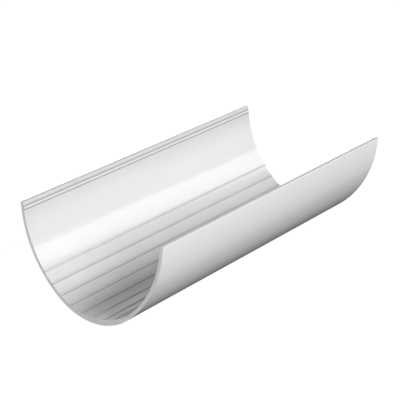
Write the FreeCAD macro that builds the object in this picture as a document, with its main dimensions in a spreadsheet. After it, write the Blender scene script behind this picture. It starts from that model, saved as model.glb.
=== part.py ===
"""Parametric model of a deep half-round rainwater gutter: one short length of extruded plastic stock.

Frame: X across the trough, Y along its length, Z up. The origin is under the middle of the trough,
at the lowest point of its outer surface. All lengths are in millimetres and all angles in degrees.
"""

import FreeCAD
import Part
import math
import os
import Sketcher

NODE = "gutter_section"

# Alias, value and meaning of every driving dimension.
DRIVING = [
    ("length", 260.0, "cut length of the stock"),
    ("width", 125.0, "overall width across the two rims"),
    ("depth", 72.8, "height of the rims above the outer bottom"),
    ("bottom_radius", 49.2, "outer radius of the bottom"),
    ("side_radius", 83.0, "outer radius of each side wall"),
    ("wall", 2.5, "thickness of the side walls"),
    ("floor_wall", 3.8, "thickness at the middle of the bottom"),
    ("rim_jut", 0.3, "overhang of the rim beyond the outer wall"),
    ("rim_width", 2.5, "width of the flat top of the rim, with its rounded edges"),
    ("rim_edge", 2.2, "height of the overhanging edge of the rim"),
    ("rim_face", 3.0, "height of the plain face inside the rim, above the bead"),
    ("rim_round", 0.4, "radius of the two top edges of the rim"),
    ("bead_diameter", 2.4, "diameter of the round snap bead inside the rim"),
    ("rib_width", 1.0, "width of each round-topped flow rib"),
    ("rib_rise", 0.6, "height of a flow rib above the inner surface"),
    ("rib_pitch", 10.0, "distance between flow ribs, along the inner surface"),
    ("rib_reach", 50.0, "distance from the middle rib to the last one, along the inner surface"),
]

doc = FreeCAD.newDocument("gutter")


def make_sheet():
    """Write the driving dimensions into a spreadsheet, each with its meaning and its alias."""
    sheet = doc.addObject("Spreadsheet::Sheet", "sizes")
    for row, (alias, value, meaning) in enumerate(DRIVING, start=1):
        sheet.set(f"A{row}", meaning)
        sheet.set(f"B{row}", str(value))
        sheet.setAlias(f"B{row}", alias)
    doc.recompute()
    return sheet


def origin_plane(body, role):
    """Return the body's own origin plane with this role, such as XZ_Plane."""
    return next(plane for plane in body.Origin.OriginFeatures if plane.Role == role)


def section_sketch(body, name):
    """Start a sketch on the plane across the trough, with its own X across and its own Y up."""
    sketch = body.newObject("Sketcher::SketchObject", name)
    sketch.AttachmentSupport = [(origin_plane(body, "XZ_Plane"), "")]
    sketch.MapMode = "FlatFace"
    return sketch


def drive(sketch, constraint, name, expression):
    """Add a dimension to the sketch and drive it from the spreadsheet."""
    index = sketch.addConstraint(constraint)
    sketch.renameConstraint(index, name)
    sketch.setExpression(f"Constraints.{name}", expression)


def measure(sketch, constraint, name):
    """Add a reference dimension, which other features read by its name."""
    index = sketch.addConstraint(constraint)
    sketch.setDriving(index, False)
    sketch.renameConstraint(index, name)


def arc(centre, radius, start, end):
    """Return an arc of a circle in the sketch plane, anticlockwise between two angles in radians."""
    circle = Part.Circle(FreeCAD.Vector(*centre, 0), FreeCAD.Vector(0, 0, 1), radius)
    return Part.ArcOfCircle(circle, start, end)


def line(start, end):
    """Return a straight line in the sketch plane."""
    return Part.LineSegment(FreeCAD.Vector(*start, 0), FreeCAD.Vector(*end, 0))


def draw_half_section(body, sizes):
    """Draw the right half of the gutter's section, closed along the middle plane."""
    sketch = section_sketch(body, "half_section")
    half_width, depth, floor = sizes.width / 2, sizes.depth, sizes.floor_wall
    bottom, side, bead_radius = sizes.bottom_radius, sizes.side_radius, sizes.bead_diameter / 2
    # The solver moves these first guesses: the side centre lies beyond the middle, above the bottom's own.
    side_x, side_z = (bottom - side) * 0.65, bottom + (side - bottom) * 0.76
    rim_x = half_width - sizes.rim_width
    rim_z = depth - sizes.rim_face
    under_x, under_z = half_width - sizes.rim_jut, depth - sizes.rim_edge
    outer_bottom, outer_side, inner_bottom, inner_side, bead = sketch.addGeometry([
        arc((0, bottom), bottom, -1.57, -0.87),
        arc((side_x, side_z), side, -0.87, -0.05),
        arc((0, bottom + floor), bottom, -1.57, -0.80),
        arc((side_x, side_z), side - sizes.wall, -0.80, -0.11),
        arc((rim_x, rim_z - bead_radius), bead_radius, 1.57, 4.71),
    ])
    rim_under, rim_outside, rim_top, rim_inside, middle = sketch.addGeometry([
        line((under_x, under_z), (half_width, under_z)),
        line((half_width, under_z), (half_width, depth)),
        line((half_width, depth), (rim_x, depth)),
        line((rim_x, depth), (rim_x, rim_z)),
        line((0, floor), (0, 0)),
    ])
    start, end, centre = 1, 2, 3
    origin, z_axis = (-1, 1), -2
    relations = [
        ("Tangent", outer_bottom, end, outer_side, start),
        ("Coincident", outer_side, end, rim_under, start),
        ("Coincident", rim_under, end, rim_outside, start),
        ("Coincident", rim_outside, end, rim_top, start),
        ("Coincident", rim_top, end, rim_inside, start),
        ("Coincident", rim_inside, end, bead, start),
        ("Coincident", bead, end, inner_side, end),
        ("Tangent", inner_bottom, end, inner_side, start),
        ("Coincident", inner_bottom, start, middle, start),
        ("Coincident", middle, end, outer_bottom, start),
        ("Coincident", middle, end, *origin),
        ("Coincident", inner_side, centre, outer_side, centre),
        ("PointOnObject", middle, start, z_axis),
        ("PointOnObject", outer_bottom, centre, z_axis),
        ("PointOnObject", inner_bottom, centre, z_axis),
        ("Horizontal", rim_under),
        ("Vertical", rim_outside),
        ("Horizontal", rim_top),
        ("Vertical", rim_inside),
        ("Vertical", bead, start, bead, centre),
    ]
    for relation in relations:
        sketch.addConstraint(Sketcher.Constraint(*relation))
    dimensions = [
        ("half_width", "sizes.width / 2", ("DistanceX", *origin, rim_outside, end, half_width)),
        ("depth", "sizes.depth", ("DistanceY", *origin, rim_outside, end, depth)),
        ("rim_edge", "sizes.rim_edge", ("DistanceY", rim_outside, start, rim_outside, end, sizes.rim_edge)),
        ("rim_jut", "sizes.rim_jut", ("DistanceX", rim_under, start, rim_under, end, sizes.rim_jut)),
        ("rim_width", "sizes.rim_width", ("DistanceX", rim_top, end, rim_top, start, sizes.rim_width)),
        ("rim_face", "sizes.rim_face", ("DistanceY", rim_inside, end, rim_inside, start, sizes.rim_face)),
        ("bead_radius", "sizes.bead_diameter / 2", ("Radius", bead, bead_radius)),
        ("bottom_radius", "sizes.bottom_radius", ("Radius", outer_bottom, bottom)),
        ("side_radius", "sizes.side_radius", ("Radius", outer_side, side)),
        ("inner_side_radius", "sizes.side_radius - sizes.wall", ("Radius", inner_side, side - sizes.wall)),
        ("floor_wall", "sizes.floor_wall", ("DistanceY", *origin, middle, start, floor)),
    ]
    for name, expression, dimension in dimensions:
        drive(sketch, Sketcher.Constraint(*dimension), name, expression)
    references = [
        ("floor_centre_height", ("DistanceY", *origin, inner_bottom, centre, bottom + floor)),
        ("floor_radius", ("Radius", inner_bottom, bottom)),
        ("side_centre_offset", ("DistanceX", inner_side, centre, *origin, -side_x)),
        ("side_centre_height", ("DistanceY", *origin, inner_side, centre, side_z)),
    ]
    for name, dimension in references:
        measure(sketch, Sketcher.Constraint(*dimension), name)
    return sketch


def round_rim(body, base, sizes):
    """Round the two lengthwise edges at the top of the rim."""
    edges = [
        f"Edge{number}"
        for number, edge in enumerate(base.Shape.Edges, start=1)
        if edge.BoundBox.ZMin > sizes.depth - sizes.rim_round and edge.BoundBox.YLength > sizes.wall * 2
    ]
    rounding = body.newObject("PartDesign::Fillet", "rim_rounding")
    rounding.Base = (base, edges)
    rounding.setExpression("Radius", "sizes.rim_round")
    return rounding


def draw_rib(body, name, radius, centre_x, centre_height, angle, sizes):
    """Draw a rib's round section at the bottom of a sketch that is centred and turned on an inner arc."""
    sketch = section_sketch(body, name)
    sketch.setExpression("AttachmentOffset.Base.x", centre_x)
    sketch.setExpression("AttachmentOffset.Base.y", centre_height)
    sketch.setExpression("AttachmentOffset.Rotation.Angle", angle)
    centre = FreeCAD.Vector(0, -sizes.bottom_radius, 0)
    rib = sketch.addGeometry(Part.Circle(centre, FreeCAD.Vector(0, 0, 1), sizes.rib_width / 2))
    middle, origin, z_axis = (rib, 3), (-1, 1), -2
    sketch.addConstraint(Sketcher.Constraint("PointOnObject", *middle, z_axis))
    sunk = f"{radius} - (sizes.rib_rise - sizes.rib_width / 2) * 1mm"
    drive(sketch, Sketcher.Constraint("Diameter", rib, sizes.rib_width), "rib_width", "sizes.rib_width")
    drive(sketch, Sketcher.Constraint("DistanceY", *middle, *origin, sizes.bottom_radius), "sunk", sunk)
    return sketch


def add_ribs(body, name, sketch, count, radius):
    """Run the rib along the whole trough and repeat it round the arc that it is centred on."""
    rib = body.newObject("PartDesign::Pad", f"{name}_run")
    rib.Profile = sketch
    rib.SideType = "Symmetric"
    rib.setExpression("Length", "sizes.length")
    pattern = body.newObject("PartDesign::PolarPattern", f"{name}_row")
    pattern.Originals = [rib]
    pattern.Axis = (sketch, ["N_Axis"])
    pattern.Mode = "Spacing"
    pattern.setExpression("Offset", f"sizes.rib_pitch * 1mm / {radius} * 180deg / pi")
    pattern.Occurrences = count
    body.Tip = pattern
    return pattern


def count_ribs(section, sizes):
    """Return how many ribs of one half stand on the bottom arc, with the middle one, and on the side."""
    offset = section.getDatum("side_centre_offset").Value
    rise = section.getDatum("side_centre_height").Value - section.getDatum("floor_centre_height").Value
    floor_arc = section.getDatum("floor_radius").Value * math.atan2(offset, rise)
    on_floor = int(floor_arc / sizes.rib_pitch) + 1
    return on_floor, round(sizes.rib_reach / sizes.rib_pitch) + 1 - on_floor


def build_gutter(sizes):
    """Model the gutter: half the wall, its rim and ribs, then the other half as a mirror image."""
    body = doc.addObject("PartDesign::Body", NODE)
    body.Label = NODE
    section = draw_half_section(body, sizes)
    doc.recompute()

    half = body.newObject("PartDesign::Pad", "half_wall")
    half.Profile = section
    half.SideType = "Symmetric"
    half.setExpression("Length", "sizes.length")
    doc.recompute()
    round_rim(body, half, sizes)
    doc.recompute()

    floor_radius = "half_section.Constraints.floor_radius"
    floor_centre = "half_section.Constraints.floor_centre_height"
    side_radius = "half_section.Constraints.inner_side_radius"
    side_offset = "half_section.Constraints.side_centre_offset"
    side_centre = "half_section.Constraints.side_centre_height"
    on_floor, on_side = count_ribs(section, sizes)

    floor_rib = draw_rib(body, "floor_rib", floor_radius, "0 mm", floor_centre, "0 deg", sizes)
    add_ribs(body, "floor_rib", floor_rib, on_floor, floor_radius)
    doc.recompute()

    floor_turn = f"atan({side_offset} / ({side_centre} - {floor_centre}))"
    past_floor = f"{on_floor}mm * sizes.rib_pitch - {floor_radius} * {floor_turn} * pi / 180deg"
    side_turn = f"{floor_turn} + ({past_floor}) / {side_radius} * 180deg / pi"
    side_rib = draw_rib(body, "side_rib", side_radius, f"-{side_offset}", side_centre, side_turn, sizes)
    add_ribs(body, "side_rib", side_rib, on_side, side_radius)
    doc.recompute()

    whole = body.newObject("PartDesign::Mirrored", "whole_wall")
    whole.TransformMode = "Whole shape"
    whole.MirrorPlane = (origin_plane(body, "YZ_Plane"), [""])
    whole.Refine = True
    body.Tip = whole
    body.Placement = FreeCAD.Placement()
    doc.recompute()
    return body


def check_document():
    """Stop if any object of the document failed, or if a feature left the solid as it was."""
    for item in doc.Objects:
        failed = {"Invalid", "Error"} & set(item.State)
        if failed:
            raise RuntimeError(f"{item.Name} is {failed}")
    volume = {item.Name: item.Shape.Volume for item in doc.Objects if hasattr(item, "Shape")}
    if not volume["rim_rounding"] < volume["half_wall"]:
        raise RuntimeError("the rounding of the rim takes nothing away")
    steps = ("rim_rounding", "floor_rib_run", "floor_rib_row", "side_rib_run", "side_rib_row", "whole_wall")
    for before, after in zip(steps, steps[1:]):
        # A row of one rib is the rib alone, so it adds nothing to it.
        alone = getattr(doc.getObject(after), "Occurrences", 0) == 1
        if not (alone or volume[after] > volume[before]):
            raise RuntimeError(f"{after} adds nothing")


def export(body):
    """Check the finished solid and write it to its STEP file."""
    shape = body.Shape
    if shape.isNull() or not shape.isValid() or len(shape.Solids) != 1:
        raise RuntimeError(f"{body.Label} is not one valid solid")
    os.makedirs("parts", exist_ok=True)
    shape.exportStep(f"parts/{body.Label}.step")
    box = shape.BoundBox
    print(f"{body.Label}: {box.XLength:.2f} x {box.YLength:.2f} x {box.ZLength:.2f} mm,", end=" ")
    print(f"{shape.Volume / 1000:.1f} cm3, {len(shape.Faces)} faces")


gutter = build_gutter(make_sheet())
check_document()
export(gutter)
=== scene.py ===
"""A short length of deep half-round rainwater gutter, extruded in white plastic, on a pale studio floor.

The trough is one piece of stock: a wall that is thickest along the bottom, fine ribs inside along which water
runs off, a round bead under each rim that a clip snaps over, and two square saw cuts. Lengths are in metres.
"""

import logging
import math
from dataclasses import dataclass, field
from enum import Enum
from typing import Any, Optional, Union

import bpy
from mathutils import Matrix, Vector


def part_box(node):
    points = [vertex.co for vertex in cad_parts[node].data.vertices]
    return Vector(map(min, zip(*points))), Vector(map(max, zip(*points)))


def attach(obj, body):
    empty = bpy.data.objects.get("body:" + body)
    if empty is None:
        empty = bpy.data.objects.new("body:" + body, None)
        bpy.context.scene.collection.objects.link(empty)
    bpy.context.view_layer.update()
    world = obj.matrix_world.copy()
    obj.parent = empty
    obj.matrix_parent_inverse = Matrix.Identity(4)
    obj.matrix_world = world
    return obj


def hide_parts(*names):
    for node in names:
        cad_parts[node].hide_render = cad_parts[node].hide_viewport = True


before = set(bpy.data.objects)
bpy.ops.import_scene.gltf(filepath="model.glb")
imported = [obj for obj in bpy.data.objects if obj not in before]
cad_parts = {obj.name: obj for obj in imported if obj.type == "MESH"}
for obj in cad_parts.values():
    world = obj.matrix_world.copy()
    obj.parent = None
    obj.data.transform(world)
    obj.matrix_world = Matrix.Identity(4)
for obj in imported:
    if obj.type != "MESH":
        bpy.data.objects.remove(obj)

NODE = "gutter_section"
MM = 0.001
WELD = 0.001 * MM
MIRROR_WELD = 0.01 * MM
FACES_ALONG = 0.9

log = logging.getLogger("gutter")


# ---------------------------------------------------------------------------------------------------------
# Shader maths


Point = tuple[float, float]
Value = Union["Flow", float, int]


class Flow:
    """A number that changes over a surface: one shader socket, on which Python's operators add Math nodes."""

    def __init__(self, graph: "Graph", socket: bpy.types.NodeSocket) -> None:
        """Wrap a socket of a graph."""
        self.graph = graph
        self.socket = socket

    def _math(self, operation: str, *values: Value) -> "Flow":
        """Add one Math node.

        Args:
            operation: The Math node's operation.
            values: Its inputs in order, links or numbers.

        Returns:
            The node's result.
        """
        node = self.graph.add("ShaderNodeMath", {"operation": operation}, dict(enumerate(values)))
        return Flow(self.graph, node.outputs[0])

    def __add__(self, other: Value) -> "Flow":
        """Return self + other."""
        return self._math("ADD", self, other)

    def __radd__(self, other: Value) -> "Flow":
        """Return other + self."""
        return self._math("ADD", other, self)

    def __sub__(self, other: Value) -> "Flow":
        """Return self - other."""
        return self._math("SUBTRACT", self, other)

    def __rsub__(self, other: Value) -> "Flow":
        """Return other - self."""
        return self._math("SUBTRACT", other, self)

    def __mul__(self, other: Value) -> "Flow":
        """Return self * other."""
        return self._math("MULTIPLY", self, other)

    def __rmul__(self, other: Value) -> "Flow":
        """Return other * self."""
        return self._math("MULTIPLY", other, self)

    def __truediv__(self, other: Value) -> "Flow":
        """Return self / other."""
        return self._math("DIVIDE", self, other)

    def above(self, limit: Value) -> "Flow":
        """Return 1 where self is greater than the limit and 0 elsewhere."""
        return self._math("GREATER_THAN", self, limit)

    def size(self) -> "Flow":
        """Return self without its sign."""
        return self._math("ABSOLUTE", self)

    def fraction(self) -> "Flow":
        """Return what is left of self past the last whole number."""
        return self._math("FRACT", self)

    def bearing(self, down: Value) -> "Flow":
        """Return the turn, in radians, from a downward distance towards self."""
        return self._math("ARCTAN2", self, down)

    def span(self, down: "Flow") -> "Flow":
        """Return the length of the diagonal of self and another distance."""
        return self._math("SQRT", self * self + down * down)

    def near(self, place: Value, reach: float) -> "Flow":
        """Return 1 where self is at the place, fading to 0 at a distance."""
        node = self.graph.add(
            "ShaderNodeMath",
            {"operation": "SUBTRACT", "use_clamp": True},
            {0: 1.0, 1: (self - place).size() / reach},
        )
        return Flow(self.graph, node.outputs[0])


class Graph:
    """The nodes of one material or world."""

    def __init__(self, tree: bpy.types.NodeTree) -> None:
        """Take over a node tree and empty it."""
        self.tree = tree
        tree.nodes.clear()

    def add(
        self, kind: str, settings: Optional[dict[str, Any]] = None, inputs: Optional[dict[Any, Any]] = None
    ) -> bpy.types.Node:
        """Add a node, set it up and feed it.

        Args:
            kind: The node's type.
            settings: Attributes set first.
            inputs: Socket name or index to a Flow, a socket to link, or a plain value.

        Returns:
            The new node.
        """
        node = self.tree.nodes.new(kind)
        for name, value in (settings or {}).items():
            setattr(node, name, value)
        for key, value in (inputs or {}).items():
            socket = node.inputs[key]
            if isinstance(value, Flow):
                self.tree.links.new(value.socket, socket)
            elif isinstance(value, bpy.types.NodeSocket):
                self.tree.links.new(value, socket)
            else:
                socket.default_value = value
        return node

    def place(self) -> bpy.types.NodeSocket:
        """Return the Object coordinates."""
        return self.add("ShaderNodeTexCoord").outputs["Object"]

    def scaled(self, scale: tuple[float, float, float]) -> bpy.types.NodeSocket:
        """Return the Object coordinates, stretched along each axis."""
        mapping = self.add("ShaderNodeMapping", None, {"Vector": self.place(), "Scale": scale})
        return mapping.outputs["Vector"]

    def noise(self, scale: tuple[float, float, float], detail: float = 2.0, roughness: float = 0.5) -> Flow:
        """Return cloudy noise.

        Args:
            scale: Clouds to the metre, along each axis.
            detail: Number of finer octaves.
            roughness: Strength of the finer octaves.

        Returns:
            A level round 0.5.
        """
        inputs = {"Vector": self.scaled(scale), "Scale": 1.0, "Detail": detail, "Roughness": roughness}
        return Flow(self, self.add("ShaderNodeTexNoise", None, inputs).outputs["Fac"])

    def axis(self, name: str) -> Flow:
        """Return one coordinate, X, Y or Z, of the object's own place."""
        split = self.add("ShaderNodeSeparateXYZ", None, {"Vector": self.place()})
        return Flow(self, split.outputs[name])

    def blend(self, share: Flow, first: Any, second: Any) -> bpy.types.NodeSocket:
        """Mix two colours.

        Args:
            share: How much of the second there is, from 0 to 1.
            first: A colour, or a socket that gives one.
            second: Another.

        Returns:
            The mixed colour.
        """
        mix = self.add("ShaderNodeMix", {"data_type": "RGBA"}, {0: share, 6: first, 7: second})
        return mix.outputs[2]

    def bump(
        self, height: Flow, distance: float, strength: float, normal: Optional[bpy.types.NodeSocket] = None
    ) -> bpy.types.NodeSocket:
        """Return a normal disturbed by a height, on top of another bump's normal if there is one."""
        inputs: dict[Any, Any] = {"Height": height, "Distance": distance, "Strength": strength}
        if normal is not None:
            inputs["Normal"] = normal
        return self.add("ShaderNodeBump", None, inputs).outputs["Normal"]


# ---------------------------------------------------------------------------------------------------------
# Finishes


@dataclass(frozen=True)
class Section:
    """The arcs of the trough's inner surface and the heights of its rim, for the painted shade that follows them.
    """

    floor_centre: Point
    floor_radius: float
    floor_turn: float
    side_centre: Point
    side_radius: float
    rim_top: float
    bead_top: float
    bead_foot: float
    rib_pitch: float
    rib_reach: float


@dataclass(frozen=True)
class PaintedShade:
    """Painted shade, dark and dull, inside the trough and on top of the rims.

    Inside, it lies as a dark line at the lower foot of each rib, a weaker one at the upper foot and a soft painted
    shadow above it, along both creases of the bead, on the rim's inner face and, ever thinner, on the wall
    under the bead. It is weaker on the highest rib.
    """

    lower_foot: float = 0.78 * MM
    upper_foot: float = 0.55 * MM
    foot_reach: float = 0.42 * MM
    lower_foot_strength: float = 0.76
    upper_foot_strength: float = 0.16
    high_rib_fade: float = 0.35
    rib_shadow_reach: float = 2.4 * MM
    rib_shadow_strength: float = 0.05
    crease_reach: float = 0.42 * MM
    upper_crease_strength: float = 0.50
    lower_crease_strength: float = 0.85
    rim_strength: float = 0.20
    top_depth: float = 0.05 * MM
    top_strength: float = 0.27
    under_reach: float = 15.0 * MM
    under_strength: float = 0.09
    skin_depth: float = 0.8 * MM

    def shade_share(self, graph: Graph, section: Section) -> Flow:
        """Work out how far the painted shade darkens each place.

        Args:
            graph: The material's nodes.
            section: The surface that the painted shade lies on.

        Returns:
            The share of light that the painted shade takes away, 0 on the outer skin.
        """
        across, up = graph.axis("X").size(), graph.axis("Z")
        side_x, side_down = across - section.side_centre[0], section.side_centre[1] - up
        floor_down = section.floor_centre[1] - up
        side_turn, floor_turn = side_x.bearing(side_down), across.bearing(floor_down)
        # On each side of the joint of the two arcs, distances are taken from that side's own arc.
        on_side = side_turn.above(section.floor_turn)
        floor_arc = section.floor_radius * section.floor_turn
        along_side = floor_arc + (side_turn - section.floor_turn) * section.side_radius
        along_floor = floor_turn * section.floor_radius
        along = along_floor + on_side * (along_side - along_floor)
        past_side, past_floor = side_x.span(side_down) - section.side_radius, across.span(floor_down)
        depth = past_floor - section.floor_radius
        depth = depth + on_side * (past_side - depth)
        inside = 1.0 - depth.above(self.skin_depth)
        # Painted shade along the ribs: dark lines at their feet and a soft painted shadow above each, weaker on the
        # highest rib.
        ribbed = 1.0 - along.above(section.rib_reach + self.rib_shadow_reach)
        off = ((along / section.rib_pitch + 0.5).fraction() - 0.5) * section.rib_pitch
        lower_foot = off.near(-self.lower_foot, self.foot_reach) * self.lower_foot_strength
        upper_foot = off.near(self.upper_foot, self.foot_reach) * self.upper_foot_strength
        rib_shadow = off.near(0.0, self.rib_shadow_reach) * off.above(0.0) * self.rib_shadow_strength
        high_rib = along.above(section.rib_reach - section.rib_pitch / 2) * self.high_rib_fade
        ribs = ribbed * (1.0 - high_rib) * (lower_foot + upper_foot + rib_shadow)
        # Painted shade in both creases of the bead.
        upper_crease = up.near(section.bead_top, self.crease_reach) * self.upper_crease_strength
        lower_crease = up.near(section.bead_foot, self.crease_reach) * self.lower_crease_strength
        # Painted shade on the rim's inner face, darker down towards the bead, and on the wall under the bead,
        # fading downwards.
        rim_height = section.rim_top - section.bead_top
        rim = up.near(section.bead_top, rim_height) * up.above(section.bead_top)
        under = up.near(section.bead_foot, self.under_reach) * (1.0 - up.above(section.bead_foot))
        shade = rim * self.rim_strength + under * under * self.under_strength
        # Painted shade on the flat top of each rim.
        top = up.above(section.rim_top - self.top_depth) * self.top_strength
        return inside * (ribs + upper_crease + lower_crease + shade) + top


@dataclass(frozen=True)
class ExtrudedPlastic:
    """White rigid plastic as it leaves the die: a soft sheen, faint lines drawn along it, and painted shade."""

    colour: tuple[float, float, float, float] = (0.855, 0.855, 0.855, 1.0)
    streak_colour: tuple[float, float, float, float] = (0.83, 0.83, 0.83, 1.0)
    shade_colour: tuple[float, float, float, float] = (0.0, 0.0, 0.0, 1.0)
    roughness: float = 0.15
    streak_roughness: float = 0.06
    shade_roughness: float = 0.6
    ior: float = 1.5
    streak_scale: tuple[float, float, float] = (260.0, 2.2, 260.0)
    streak_weight: float = 1.2
    cloud_scale: tuple[float, float, float] = (22.0, 9.0, 22.0)
    cloud_weight: float = 0.6
    die_line_scale: tuple[float, float, float] = (700.0, 1.2, 700.0)
    die_line_depth: float = 0.008 * MM
    die_line_strength: float = 0.5
    sway_scale: tuple[float, float, float] = (40.0, 3.0, 40.0)
    sway_depth: float = 0.20 * MM
    sway_strength: float = 0.30
    painted_shade: PaintedShade = field(default_factory=PaintedShade)

    def material(self, section: Section) -> bpy.types.Material:
        """Return the finish as a material.

        Args:
            section: The inner surface, along whose creases and rims shade is painted.

        Returns:
            The material.
        """
        material = bpy.data.materials.new("extruded_plastic")
        material.use_nodes = True
        graph = Graph(material.node_tree)
        streaks = graph.noise(self.streak_scale, 3.0, 0.55)
        clouds = graph.noise(self.cloud_scale)
        share = (streaks - 0.5) * self.streak_weight + (clouds - 0.5) * self.cloud_weight + 0.5
        base_tone = graph.blend(share, self.streak_colour, self.colour)
        # Painted shade: the base colour is mixed towards black by it, and the roughness rises with it.
        shade_share = self.painted_shade.shade_share(graph, section)
        die_lines = graph.noise(self.die_line_scale)
        sway = graph.noise(self.sway_scale, 1.0)
        normal = graph.bump(sway, self.sway_depth, self.sway_strength)
        normal = graph.bump(die_lines, self.die_line_depth, self.die_line_strength, normal)
        shader = graph.add(
            "ShaderNodeBsdfPrincipled",
            None,
            {
                "Base Color": graph.blend(shade_share, base_tone, self.shade_colour),
                "Roughness": self.roughness + (streaks - 0.5) * self.streak_roughness + shade_share * self.shade_roughness,
                "IOR": self.ior,
                "Normal": normal,
            },
        )
        graph.add("ShaderNodeOutputMaterial", None, {"Surface": shader.outputs[0]})
        return material


@dataclass(frozen=True)
class SawnPlastic:
    """The cut end of the stock: matt, and combed by the teeth of the saw."""

    colour: tuple[float, float, float, float] = (0.87, 0.87, 0.87, 1.0)
    groove_colour: tuple[float, float, float, float] = (0.81, 0.81, 0.81, 1.0)
    roughness: float = 0.55
    grain_roughness: float = 0.2
    ior: float = 1.5
    lean: float = math.radians(12)
    groove_scale: tuple[float, float, float] = (45.0, 1.0, 2600.0)
    groove_contrast: float = 2.2
    groove_depth: float = 0.05 * MM
    groove_strength: float = 0.5
    grain_scale: tuple[float, float, float] = (900.0, 900.0, 900.0)
    grain_depth: float = 0.02 * MM
    grain_strength: float = 0.4

    def material(self) -> bpy.types.Material:
        """Return the finish as a material."""
        material = bpy.data.materials.new("sawn_plastic")
        material.use_nodes = True
        graph = Graph(material.node_tree)
        inputs = {"Vector": graph.place(), "Rotation": (0.0, self.lean, 0.0), "Scale": self.groove_scale}
        teeth_place = graph.add("ShaderNodeMapping", None, inputs).outputs["Vector"]
        inputs = {"Vector": teeth_place, "Scale": 1.0, "Detail": 2.0, "Roughness": 0.6}
        teeth = Flow(graph, graph.add("ShaderNodeTexNoise", None, inputs).outputs["Fac"])
        grain = graph.noise(self.grain_scale)
        normal = graph.bump(teeth, self.groove_depth, self.groove_strength)
        share = (teeth - 0.5) * self.groove_contrast + 0.5
        shader = graph.add(
            "ShaderNodeBsdfPrincipled",
            None,
            {
                "Base Color": graph.blend(share, self.groove_colour, self.colour),
                "Roughness": self.roughness + (grain - 0.5) * self.grain_roughness,
                "IOR": self.ior,
                "Normal": graph.bump(grain, self.grain_depth, self.grain_strength, normal),
            },
        )
        graph.add("ShaderNodeOutputMaterial", None, {"Surface": shader.outputs[0]})
        return material


# ---------------------------------------------------------------------------------------------------------
# Modelling


class Direction(Enum):
    """Which way an arc runs, seen from the near end of the trough."""

    CLOCKWISE = 1
    ANTICLOCKWISE = -1


@dataclass(frozen=True)
class Facets:
    """How many faces each arc of the section is made of."""

    outer_bottom: int = 44
    outer_side: int = 60
    rim_corner: int = 5
    bead: int = 12
    arc_joint: int = 3
    high_wall: int = 46
    between_ribs: int = 12
    rib: int = 10
    half_rib: int = 5


def lower_crossing(centre: Point, radius: float, other: Point, other_radius: float) -> Point:
    """Find the lower of the two points where two circles cross.

    Args:
        centre: Centre of the first circle, as X and Z.
        radius: Its radius.
        other: Centre of the second circle.
        other_radius: Its radius.

    Returns:
        The crossing with the smaller Z.
    """
    apart = math.dist(centre, other)
    along = (radius**2 - other_radius**2 + apart**2) / (2 * apart)
    aside = math.sqrt(radius**2 - along**2)
    ux, uz = (other[0] - centre[0]) / apart, (other[1] - centre[1]) / apart
    foot = (centre[0] + along * ux, centre[1] + along * uz)
    return min(
        ((foot[0] + side * aside * uz, foot[1] - side * aside * ux) for side in (-1, 1)), key=lambda point: point[1]
    )


class Strip:
    """A strip of wall surface, drawn round the section edge by edge like the outline of the die.

    It starts as a narrow plane. Its last lengthwise edge is extruded straight or spun round a centre.
    """

    def __init__(self, name: str, length: float, first: Point, second: Point) -> None:
        """Add the first, flat face of the strip.

        Args:
            name: Name of the object.
            length: Size along Y, centred on the origin.
            first: Where the strip starts, as X and Z.
            second: Where its first face ends, at the same height and to the right.
        """
        for other in bpy.context.selected_objects:
            other.select_set(False)
        middle = ((first[0] + second[0]) / 2, 0.0, first[1])
        bpy.ops.mesh.primitive_plane_add(size=length, location=middle)
        self.thing = bpy.context.active_object
        self.thing.name = name
        bpy.ops.object.mode_set(mode="EDIT")
        bpy.ops.transform.resize(value=((second[0] - first[0]) / length, 1.0, 1.0))
        bpy.ops.object.mode_set(mode="OBJECT")
        bpy.ops.object.transform_apply(location=True, rotation=True, scale=True)
        bpy.ops.object.mode_set(mode="EDIT")
        bpy.ops.mesh.select_mode(type="EDGE")
        bpy.ops.mesh.select_all(action="DESELECT")
        bpy.ops.object.mode_set(mode="OBJECT")
        mesh = self.thing.data
        for edge in mesh.edges:
            edge.select = all(mesh.vertices[v].co.x > middle[0] for v in edge.vertices)
        bpy.ops.object.mode_set(mode="EDIT")
        self.at = second

    def run_to(self, end: Point) -> None:
        """Extrude the last edge straight to a point."""
        step = (end[0] - self.at[0], 0.0, end[1] - self.at[1])
        bpy.ops.mesh.extrude_edges_move(TRANSFORM_OT_translate={"value": step})
        self.at = end

    def turn_to(self, centre: Point, end: Point, direction: Direction, steps: int) -> None:
        """Spin the last edge round a centre until it reaches a point.

        Args:
            centre: Centre of the arc, as X and Z.
            end: Where the arc ends. Only its bearing from the centre counts.
            direction: Which way round the arc goes.
            steps: Number of faces along the arc.
        """
        here = math.atan2(self.at[1] - centre[1], self.at[0] - centre[0])
        there = math.atan2(end[1] - centre[1], end[0] - centre[0])
        sweep = ((here - there) * direction.value) % math.tau
        bpy.ops.mesh.spin(
            steps=steps,
            angle=-sweep * direction.value,
            center=(centre[0], 0.0, centre[1]),
            axis=(0.0, 1.0, 0.0),
        )
        radius = math.hypot(self.at[0] - centre[0], self.at[1] - centre[1])
        self.at = (centre[0] + radius * math.cos(there), centre[1] + radius * math.sin(there))

    def done(self) -> bpy.types.Object:
        """Leave edit mode and return the object."""
        bpy.ops.mesh.select_all(action="SELECT")
        bpy.ops.mesh.remove_doubles(threshold=WELD)
        bpy.ops.object.mode_set(mode="OBJECT")
        return self.thing


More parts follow.
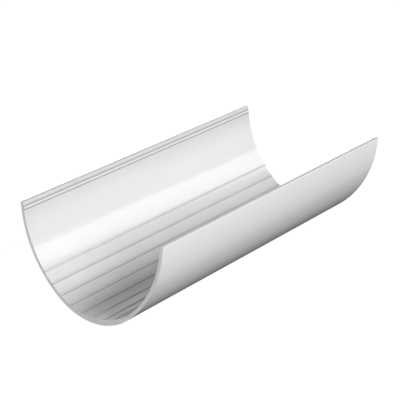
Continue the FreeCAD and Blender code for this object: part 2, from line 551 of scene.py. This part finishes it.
@dataclass
class Gutter:
    """The whole trough: its sizes, the arcs of its section, and how it is drawn, closed and finished."""

    width: float
    length: float
    depth: float
    bottom_radius: float = 49.2 * MM
    side_radius: float = 83.0 * MM
    wall: float = 2.5 * MM
    floor_wall: float = 3.8 * MM
    rim_jut: float = 0.3 * MM
    rim_width: float = 2.5 * MM
    rim_edge: float = 2.2 * MM
    rim_face: float = 3.0 * MM
    rim_round: float = 0.4 * MM
    bead_diameter: float = 2.4 * MM
    rib_width: float = 1.0 * MM
    rib_rise: float = 0.6 * MM
    rib_pitch: float = 10.0 * MM
    rib_reach: float = 50.0 * MM
    saw_chamfer: float = 0.10 * MM
    start_width: float = 0.1 * MM
    smooth_angle: float = math.radians(24)
    facets: Facets = field(default_factory=Facets)
    skin: ExtrudedPlastic = field(default_factory=ExtrudedPlastic)
    cut: SawnPlastic = field(default_factory=SawnPlastic)

    def __post_init__(self) -> None:
        """Work out the centres of the side arcs and of the inner bottom arc from the sizes."""
        under_x, under_z = self.width / 2 - self.rim_jut, self.depth - self.rim_edge
        reach, rise = self.side_radius - self.bottom_radius, under_z - self.bottom_radius
        level = (self.side_radius**2 - reach**2 - under_x**2 - rise**2) / 2
        span = math.hypot(under_x, rise)
        self.outer_turn = math.atan2(rise, under_x) + math.asin(level / (reach * span))
        self.side_centre: Point = (
            -reach * math.sin(self.outer_turn),
            self.bottom_radius + reach * math.cos(self.outer_turn),
        )
        self.inner_side_radius = self.side_radius - self.wall
        offset, height = -self.side_centre[0], self.side_centre[1] - self.floor_wall
        self.floor_radius = (self.inner_side_radius**2 - offset**2 - height**2) / (
            2 * (self.inner_side_radius - height)
        )
        self.floor_centre: Point = (0.0, self.floor_wall + self.floor_radius)
        self.floor_turn = math.atan2(offset, self.side_centre[1] - self.floor_centre[1])

    def inner_arc(self, along: float) -> tuple[Point, float, float]:
        """Find a place on the inner surface.

        Args:
            along: Distance from the middle of the bottom, along the surface.

        Returns:
            The centre and radius of the arc there, and the turn from straight down, in radians.
        """
        floor_arc = self.floor_radius * self.floor_turn
        if along < floor_arc:
            return self.floor_centre, self.floor_radius, along / self.floor_radius
        past = (along - floor_arc) / self.inner_side_radius
        return self.side_centre, self.inner_side_radius, self.floor_turn + past

    @staticmethod
    def hang(centre: Point, radius: float, turn: float) -> Point:
        """Return the point at a radius from a centre, turned from straight down towards +X."""
        return centre[0] + radius * math.sin(turn), centre[1] - radius * math.cos(turn)

    def section(self) -> Section:
        """Return the inner surface's arcs and the rim's heights."""
        bead_top = self.depth - self.rim_face
        return Section(
            floor_centre=self.floor_centre,
            floor_radius=self.floor_radius,
            floor_turn=self.floor_turn,
            side_centre=self.side_centre,
            side_radius=self.inner_side_radius,
            rim_top=self.depth,
            bead_top=bead_top,
            bead_foot=bead_top - self.bead_diameter,
            rib_pitch=self.rib_pitch,
            rib_reach=self.rib_reach,
        )

    def draw_outside(self, strip: Strip) -> None:
        """Draw the outer skin, from the middle of the bottom to the rim."""
        bottom_centre = (0.0, self.bottom_radius)
        change = self.hang(bottom_centre, self.bottom_radius, self.outer_turn)
        under = (self.width / 2 - self.rim_jut, self.depth - self.rim_edge)
        strip.turn_to(bottom_centre, change, Direction.ANTICLOCKWISE, self.facets.outer_bottom)
        strip.turn_to(self.side_centre, under, Direction.ANTICLOCKWISE, self.facets.outer_side)

    def draw_rim(self, strip: Strip) -> None:
        """Draw the rim and the bead under it."""
        edge, top, corner = self.width / 2, self.depth, self.rim_round
        inside = edge - self.rim_width
        strip.run_to((edge, top - self.rim_edge))
        strip.run_to((edge, top - corner))
        count = self.facets.rim_corner
        strip.turn_to((edge - corner, top - corner), (edge - corner, top), Direction.ANTICLOCKWISE, count)
        strip.run_to((inside + corner, top))
        strip.turn_to((inside + corner, top - corner), (inside, top - corner), Direction.ANTICLOCKWISE, count)
        strip.run_to((inside, top - self.rim_face))
        bead = self.bead_diameter / 2
        centre = (inside, top - self.rim_face - bead)
        foot = lower_crossing(centre, bead, self.side_centre, self.inner_side_radius)
        strip.turn_to(centre, foot, Direction.ANTICLOCKWISE, self.facets.bead)

    def draw_inside(self, strip: Strip) -> None:
        """Draw the inner skin with its ribs, from the bead to the top of the middle rib."""
        facets = self.facets
        joint = self.hang(self.floor_centre, self.floor_radius, self.floor_turn)
        on_side = True
        for number in range(round(self.rib_reach / self.rib_pitch), -1, -1):
            centre, radius, turn = self.inner_arc(number * self.rib_pitch)
            if on_side and centre == self.floor_centre:
                strip.turn_to(self.side_centre, joint, Direction.CLOCKWISE, facets.arc_joint)
                on_side = False
            bulge = self.rib_width / 2
            sunk = radius - self.rib_rise + bulge
            half = math.acos((radius**2 + sunk**2 - bulge**2) / (2 * radius * sunk))
            steps = facets.high_wall if number * self.rib_pitch == self.rib_reach else facets.between_ribs
            strip.turn_to(centre, self.hang(centre, radius, turn + half), Direction.CLOCKWISE, steps)
            rib_centre = self.hang(centre, sunk, turn)
            if number:
                far_foot = self.hang(centre, radius, turn - half)
                strip.turn_to(rib_centre, far_foot, Direction.ANTICLOCKWISE, facets.rib)
            else:
                crest = (0.0, self.floor_wall + self.rib_rise)
                strip.turn_to(rib_centre, crest, Direction.ANTICLOCKWISE, facets.half_rib)

    def close(self, thing: bpy.types.Object) -> None:
        """Mirror the half, close the two sawn ends, and break their edges with a small chamfer."""
        for other in bpy.context.selected_objects:
            other.select_set(False)
        thing.select_set(True)
        bpy.context.view_layer.objects.active = thing
        mirror = thing.modifiers.new("other_half", "MIRROR")
        mirror.use_axis = (True, False, False)
        mirror.merge_threshold = MIRROR_WELD
        bpy.ops.object.modifier_apply(modifier=mirror.name)
        bpy.ops.object.mode_set(mode="EDIT")
        bpy.ops.mesh.select_mode(type="EDGE")
        for side in (-1, 1):
            self.select_end(thing, side)
            bpy.ops.mesh.edge_face_add()
        bpy.ops.mesh.select_all(action="SELECT")
        bpy.ops.mesh.normals_make_consistent(inside=False)
        for side in (-1, 1):
            self.select_end(thing, side)
            bpy.ops.mesh.bevel(offset=self.saw_chamfer, segments=1, affect="EDGES")
        bpy.ops.object.mode_set(mode="OBJECT")

    def select_end(self, thing: bpy.types.Object, side: int) -> None:
        """Select the edges that lie in one end's plane, in edit mode."""
        bpy.ops.mesh.select_all(action="DESELECT")
        bpy.ops.object.mode_set(mode="OBJECT")
        mesh = thing.data
        limit = self.length / 2 - WELD
        for edge in mesh.edges:
            edge.select = all(mesh.vertices[v].co.y * side > limit for v in edge.vertices)
        bpy.ops.object.mode_set(mode="EDIT")

    def dress(self, thing: bpy.types.Object) -> None:
        """Give the skins and the sawn ends their finishes, and smooth the arcs."""
        thing.data.materials.clear()
        thing.data.materials.append(self.skin.material(self.section()))
        thing.data.materials.append(self.cut.material())
        bpy.ops.object.shade_smooth_by_angle(angle=self.smooth_angle)
        for face in thing.data.polygons:
            face.material_index = 1 if abs(face.normal.y) > FACES_ALONG else 0

    def build(self) -> bpy.types.Object:
        """Model the trough and hand it to the frame in place of the plain solid."""
        strip = Strip("gutter_trough", self.length, (0.0, 0.0), (self.start_width, 0.0))
        self.draw_outside(strip)
        self.draw_rim(strip)
        self.draw_inside(strip)
        thing = strip.done()
        self.close(thing)
        self.dress(thing)
        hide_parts(NODE)
        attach(thing, "root")
        return thing


# ---------------------------------------------------------------------------------------------------------
# Studio


@dataclass(frozen=True)
class Softbox:
    """A rectangular lamp behind a white cloth."""

    name: str
    azimuth: float
    elevation: float
    distance: float
    width: float
    height: float
    level: float
    aim: tuple[float, float, float] = (0.0, 0.0, 0.04)

    def build(self) -> bpy.types.Object:
        """Hang the lamp at its bearing from +X towards +Y, facing the part.

        Returns:
            The lamp, whose surface shines at the level, where 1 is white.
        """
        turn, lift = math.radians(self.azimuth), math.radians(self.elevation)
        away = Vector((math.cos(turn) * math.cos(lift), math.sin(turn) * math.cos(lift), math.sin(lift)))
        bpy.ops.object.light_add(type="AREA", location=Vector(self.aim) + away * self.distance)
        lamp = bpy.context.active_object
        lamp.name = self.name
        lamp.rotation_euler = (-away).to_track_quat("-Z", "Y").to_euler()
        lamp.data.shape = "RECTANGLE"
        lamp.data.size = self.width
        lamp.data.size_y = self.height
        lamp.data.energy = self.level * self.width * self.height * math.pi
        return lamp


@dataclass(frozen=True)
class LitCard:
    """A card that lies on the floor beside the part and shines upwards."""

    name: str
    middle: tuple[float, float]
    width: float
    length: float
    level: float
    lift: float = 0.002

    def build(self) -> bpy.types.Object:
        """Lay the card down, out of the camera's sight.

        Returns:
            The lamp, whose surface shines at the level, where 1 is white.
        """
        bpy.ops.object.light_add(type="AREA", location=(*self.middle, self.lift), rotation=(math.pi, 0.0, 0.0))
        lamp = bpy.context.active_object
        lamp.name = self.name
        lamp.data.shape = "RECTANGLE"
        lamp.data.size = self.width
        lamp.data.size_y = self.length
        lamp.data.energy = self.level * self.width * self.length * math.pi
        lamp.visible_camera = False
        return lamp


@dataclass(frozen=True)
class Surroundings:
    """The room: white to the eye, with its own level in reflections and a dim even glow on the part."""

    glow: float = 0.11
    shine: float = 0.17

    def build(self) -> None:
        """Set up the world."""
        world = bpy.data.worlds.new("studio")
        bpy.context.scene.world = world
        world.use_nodes = True
        graph = Graph(world.node_tree)
        paths = graph.add("ShaderNodeLightPath")
        seen, mirrored = (Flow(graph, paths.outputs[f"Is {kind} Ray"]) for kind in ("Camera", "Glossy"))
        strength = self.glow + seen * (1.0 - self.glow) + mirrored * (self.shine - self.glow)
        shader = graph.add("ShaderNodeBackground", None, {"Color": (1.0, 1.0, 1.0, 1.0), "Strength": strength})
        graph.add("ShaderNodeOutputWorld", None, {"Surface": shader.outputs[0]})


@dataclass(frozen=True)
class StudioFloor:
    """A wide sheet of paper, white to the eye apart from the shadow on it, and dim towards the part."""

    size: float = 14.0
    paper: tuple[float, float, float, float] = (0.14, 0.14, 0.14, 1.0)
    white: float = 0.955

    def build(self) -> bpy.types.Object:
        """Lay the floor under the part."""
        bpy.ops.mesh.primitive_plane_add(size=self.size, location=(0.0, 0.0, 0.0))
        floor = bpy.context.active_object
        floor.name = "floor"
        material = bpy.data.materials.new("paper_floor")
        material.use_nodes = True
        graph = Graph(material.node_tree)
        seen = Flow(graph, graph.add("ShaderNodeLightPath").outputs["Is Camera Ray"])
        matt = graph.add("ShaderNodeBsdfDiffuse", None, {"Color": self.paper})
        white = graph.add("ShaderNodeEmission", None, {"Strength": seen * self.white})
        both = graph.add("ShaderNodeAddShader", None, {0: matt.outputs[0], 1: white.outputs[0]})
        graph.add("ShaderNodeOutputMaterial", None, {"Surface": both.outputs[0]})
        floor.data.materials.append(material)
        return floor


@dataclass(frozen=True)
class StudioCamera:
    """A long lens that looks down the trough from its near right corner."""

    place: tuple[float, float, float] = (0.614319, -0.803874, 0.460104)
    azimuth: float = 37.767
    elevation: float = 22.176
    lens: float = 135.226

    def build(self) -> bpy.types.Object:
        """Set up the camera and make it the scene's own."""
        bpy.ops.object.camera_add(location=self.place)
        camera = bpy.context.active_object
        camera.name = "camera"
        tilt, turn = math.radians(90.0 - self.elevation), math.radians(self.azimuth)
        camera.rotation_euler = (tilt, 0.0, turn)
        camera.data.lens = self.lens
        camera.data.sensor_width = 36.0
        camera.data.clip_start = 0.01
        bpy.context.scene.camera = camera
        return camera


@dataclass
class Studio:
    """Everything round the part."""

    lamps: tuple[Softbox | LitCard, ...] = (
        Softbox("key_lamp", 0.0, 38.0, 1.6, 0.75, 0.40, 15.0),
        Softbox("side_lamp", -30.0, 20.0, 1.6, 0.75, 0.40, 6.0),
        Softbox("front_lamp", -90.0, 20.0, 1.6, 0.75, 0.40, 1.2),
        Softbox("low_lamp", 60.0, 5.0, 1.6, 0.75, 0.40, 0.7),
        Softbox("strip_lamp", 51.0, 21.3, 4.0, 2.80, 0.95, 3.6),
        Softbox("left_lamp", 240.0, 8.0, 1.6, 0.75, 0.40, 6.9),
        Softbox("back_lamp", 195.0, 8.0, 1.6, 0.75, 0.40, 10.1),
        Softbox("far_lamp", 130.0, 8.0, 1.6, 0.75, 0.40, 4.3),
        LitCard("wide_card", (0.50, 0.0), 0.30, 0.90, 1.75),
        LitCard("near_card", (0.095, 0.0), 0.06, 0.60, 0.25),
    )
    floor: StudioFloor = field(default_factory=StudioFloor)
    camera: StudioCamera = field(default_factory=StudioCamera)
    surroundings: Surroundings = field(default_factory=Surroundings)

    def build(self) -> None:
        """Set the room up and report each thing in it."""
        self.surroundings.build()
        log.info("floor: %s", self.floor.build().name)
        log.info("camera: %s", self.camera.build().name)
        for lamp in self.lamps:
            log.info("lamp: %s", lamp.build().name)
        bpy.context.scene.view_settings.view_transform = "Standard"


def main() -> None:
    """Build the trough and the studio."""
    logging.basicConfig(level=logging.INFO, format="%(message)s")
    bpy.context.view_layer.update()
    low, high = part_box(NODE)
    gutter = Gutter(width=high.x - low.x, length=high.y - low.y, depth=high.z - low.z)
    thing = gutter.build()
    log.info("piece: %s, %d faces", thing.name, len(thing.data.polygons))
    Studio().build()


if __name__ == "__main__":
    main()
